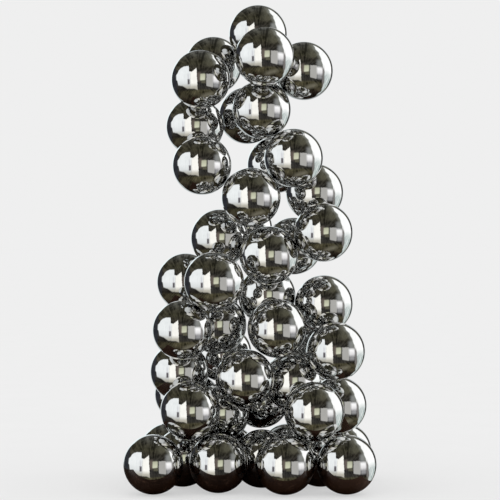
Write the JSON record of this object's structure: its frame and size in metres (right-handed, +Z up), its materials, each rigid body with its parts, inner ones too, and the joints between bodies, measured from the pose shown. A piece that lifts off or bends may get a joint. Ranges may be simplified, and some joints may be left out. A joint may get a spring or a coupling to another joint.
{
  "type": "magnetic desk sculpture",
  "caption": "Leaning openwork tower of loose mirror-plated magnet balls that cling together without a base or glue; balls roll round each other and pull off to be rebuilt.",
  "frame": {"origin": "on the desk, at the middle of the rectangle that the foot covers", "axes": "+Z up, -Y towards the side the tower is seen from, +X to its right"},
  "size_m": [0.0542, 0.0518, 0.1054],
  "materials": {
    "nickel_plate": "mirror-polished nickel plate with fine handling scratches"
  },
  "bodies": {
    "core": {"foot_front_mid_left": "nickel_plate", "foot_front_mid_right": "nickel_plate", "foot_second_left": "nickel_plate", "foot_second_middle": "nickel_plate", "foot_second_right": "nickel_plate", "foot_third_mid_left": "nickel_plate", "foot_third_mid_right": "nickel_plate", "step_middle": "nickel_plate", "step_centre": "nickel_plate", "step_left_back": "nickel_plate", "step_right_back": "nickel_plate", "lower_middle": "nickel_plate", "waist_middle": "nickel_plate", "lower_left_rear": "nickel_plate", "waist_front": "nickel_plate", "waist_centre": "nickel_plate", "middle_right_rear": "nickel_plate", "middle_front": "nickel_plate", "middle_left_upper": "nickel_plate", "chest_right": "nickel_plate", "chest_front_right": "nickel_plate", "chest_front": "nickel_plate", "neck_front": "nickel_plate", "neck_rear": "nickel_plate", "crown_front": "nickel_plate"},
    "foot_front_left": {"foot_front_left": "nickel_plate"},
    "foot_front_right": {"foot_front_right": "nickel_plate"},
    "foot_third_left": {"foot_third_left": "nickel_plate"},
    "foot_third_right": {"foot_third_right": "nickel_plate"},
    "foot_back_left": {"foot_back_left": "nickel_plate"},
    "foot_back_right": {"foot_back_right": "nickel_plate"},
    "step_left": {"step_left": "nickel_plate"},
    "step_right": {"step_right": "nickel_plate"},
    "step_right_rear": {"step_right_rear": "nickel_plate"},
    "step_left_rear": {"step_left_rear": "nickel_plate"},
    "lower_left": {"lower_left": "nickel_plate"},
    "lower_right": {"lower_right": "nickel_plate"},
    "lower_front": {"lower_front": "nickel_plate"},
    "waist_left": {"waist_left": "nickel_plate"},
    "waist_right": {"waist_right": "nickel_plate"},
    "waist_rear": {"waist_rear": "nickel_plate"},
    "waist_right_rear": {"waist_right_rear": "nickel_plate"},
    "middle_front_left": {"middle_front_left": "nickel_plate"},
    "middle_left": {"middle_left": "nickel_plate"},
    "middle_right": {"middle_right": "nickel_plate"},
    "middle_rear": {"middle_rear": "nickel_plate"},
    "chest_left": {"chest_left": "nickel_plate"},
    "chest_rear": {"chest_rear": "nickel_plate"},
    "neck_left": {"neck_left": "nickel_plate"},
    "crown_left": {"crown_left": "nickel_plate"},
    "crown_left_rear": {"crown_left_rear": "nickel_plate"},
    "crown_right": {"crown_right": "nickel_plate"},
    "crown_top": {"crown_top": "nickel_plate"}
  },
  "joints": [
    {"name": "foot_front_left_pull", "type": "slide", "parent": "core", "child": "foot_front_left", "axis": [-0.9659, -0.2588, 0], "range_m": [0, 0.0127]},
    {"name": "foot_front_right_pull", "type": "slide", "parent": "core", "child": "foot_front_right", "axis": [0.9659, -0.2588, 0], "range_m": [0, 0.0127]},
    {"name": "foot_third_left_pull", "type": "slide", "parent": "core", "child": "foot_third_left", "axis": [-1, 0, 0], "range_m": [0, 0.0127]},
    {"name": "foot_third_right_pull", "type": "slide", "parent": "core", "child": "foot_third_right", "axis": [0.9659, 0.2588, 0], "range_m": [0, 0.0127]},
    {"name": "foot_back_left_pull", "type": "slide", "parent": "core", "child": "foot_back_left", "axis": [0, 1, 0], "range_m": [0, 0.0127]},
    {"name": "foot_back_right_pull", "type": "slide", "parent": "core", "child": "foot_back_right", "axis": [0.2588, 0.9659, 0], "range_m": [0, 0.0127]},
    {"name": "step_left_pull", "type": "slide", "parent": "core", "child": "step_left", "axis": [-0.25, -0.933, 0.2588], "range_m": [0, 0.0127]},
    {"name": "step_right_pull", "type": "slide", "parent": "core", "child": "step_right", "axis": [0, -0.866, 0.5], "range_m": [0, 0.0127]},
    {"name": "step_right_rear_pull", "type": "slide", "parent": "core", "child": "step_right_rear", "axis": [0.9659, 0, 0.2588], "range_m": [0, 0.0127]},
    {"name": "step_left_rear_pull", "type": "slide", "parent": "core", "child": "step_left_rear", "axis": [-0.6124, 0.6124, 0.5], "range_m": [0, 0.0127]},
    {"name": "lower_left_pull", "type": "slide", "parent": "core", "child": "lower_left", "axis": [-0.9659, 0.2588, 0], "range_m": [0, 0.0127]},
    {"name": "lower_right_pull", "type": "slide", "parent": "core", "child": "lower_right", "axis": [0.8365, -0.483, 0.2588], "range_m": [0, 0.0127]},
    {"name": "lower_front_pull", "type": "slide", "parent": "core", "child": "lower_front", "axis": [0, -1, 0], "range_m": [0, 0.0127]},
    {"name": "waist_left_pull", "type": "slide", "parent": "core", "child": "waist_left", "axis": [-0.866, -0.5, 0], "range_m": [0, 0.0127]},
    {"name": "waist_right_pull", "type": "slide", "parent": "core", "child": "waist_right", "axis": [0.9659, 0, 0.2588], "range_m": [0, 0.0127]},
    {"name": "waist_rear_pull", "type": "slide", "parent": "core", "child": "waist_rear", "axis": [0, 0.9659, 0.2588], "range_m": [0, 0.0127]},
    {"name": "waist_right_rear_roll", "type": "hinge", "parent": "waist_right", "child": "waist_right_rear", "pos_m": [0.01588, -0.00412, 0.03995], "axis": [-0.25, 0.433, 0.866], "range_deg": [-90, 20]},
    {"name": "middle_front_left_roll", "type": "hinge", "parent": "waist_left", "child": "middle_front_left", "pos_m": [-0.01476, -0.01617, 0.03472], "axis": [-0.433, -0.75, 0.5], "range_deg": [-35, 45]},
    {"name": "middle_left_pull", "type": "slide", "parent": "core", "child": "middle_left", "axis": [-1, 0, 0], "range_m": [0, 0.0127]},
    {"name": "middle_right_pull", "type": "slide", "parent": "core", "child": "middle_right", "axis": [0.7071, -0.7071, 0], "range_m": [0, 0.0127]},
    {"name": "middle_rear_roll", "type": "hinge", "parent": "core", "child": "middle_rear", "pos_m": [-0.00696, -0.00424, 0.05441], "axis": [0.6124, -0.6124, 0.5], "range_deg": [0, 90]},
    {"name": "chest_left_pull", "type": "slide", "parent": "core", "child": "chest_left", "axis": [-0.7071, -0.7071, 0], "range_m": [0, 0.0127]},
    {"name": "chest_rear_pull", "type": "slide", "parent": "core", "child": "chest_rear", "axis": [0.2588, 0.9659, 0], "range_m": [0, 0.0127]},
    {"name": "neck_left_pull", "type": "slide", "parent": "core", "child": "neck_left", "axis": [-0.866, 0.5, 0], "range_m": [0, 0.0127]},
    {"name": "crown_left_pull", "type": "slide", "parent": "core", "child": "crown_left", "axis": [-0.683, -0.683, 0.2588], "range_m": [0, 0.0127]},
    {"name": "crown_left_rear_pull", "type": "slide", "parent": "core", "child": "crown_left_rear", "axis": [-0.6124, 0.6124, 0.5], "range_m": [0, 0.0127]},
    {"name": "crown_right_roll", "type": "hinge", "parent": "core", "child": "crown_right", "pos_m": [0.00217, -0.00965, 0.08228], "axis": [0, 0.866, 0.5], "range_deg": [0, 60]},
    {"name": "crown_top_roll", "type": "hinge", "parent": "core", "child": "crown_top", "pos_m": [0.00281, -0.01657, 0.09307], "axis": [0.8365, -0.2241, 0.5], "range_deg": [0, 90]}
  ]
}
